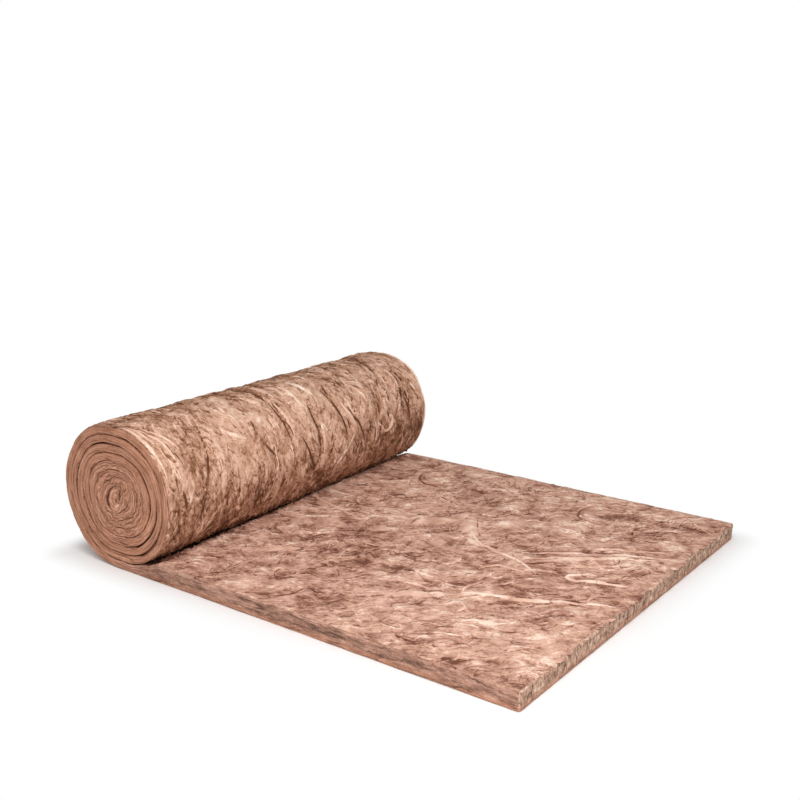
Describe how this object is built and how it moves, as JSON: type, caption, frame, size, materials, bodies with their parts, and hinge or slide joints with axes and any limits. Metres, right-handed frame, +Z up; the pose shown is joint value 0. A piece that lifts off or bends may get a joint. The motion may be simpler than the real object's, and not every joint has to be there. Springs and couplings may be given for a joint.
{
  "type": "insulation roll",
  "caption": "Roll of brown glass mineral wool insulation, partly unrolled: a wound roll with its spiral ends showing and the free length of the mat laid flat in front of it.",
  "frame": {"origin": "on the floor, under the middle of the object's bounding box, half way along its length and across the mat's width", "axes": "+X along the laid mat from the roll to the free end, +Y along the roll's axis across the mat, +Z up"},
  "size_m": [1.466, 1.2, 0.402],
  "materials": {
    "mineral_wool": "matte felted fibres, brown with darker and paler streaks"
  },
  "bodies": {
    "root": {"wool_mat": "mineral_wool"}
  },
  "joints": []
}
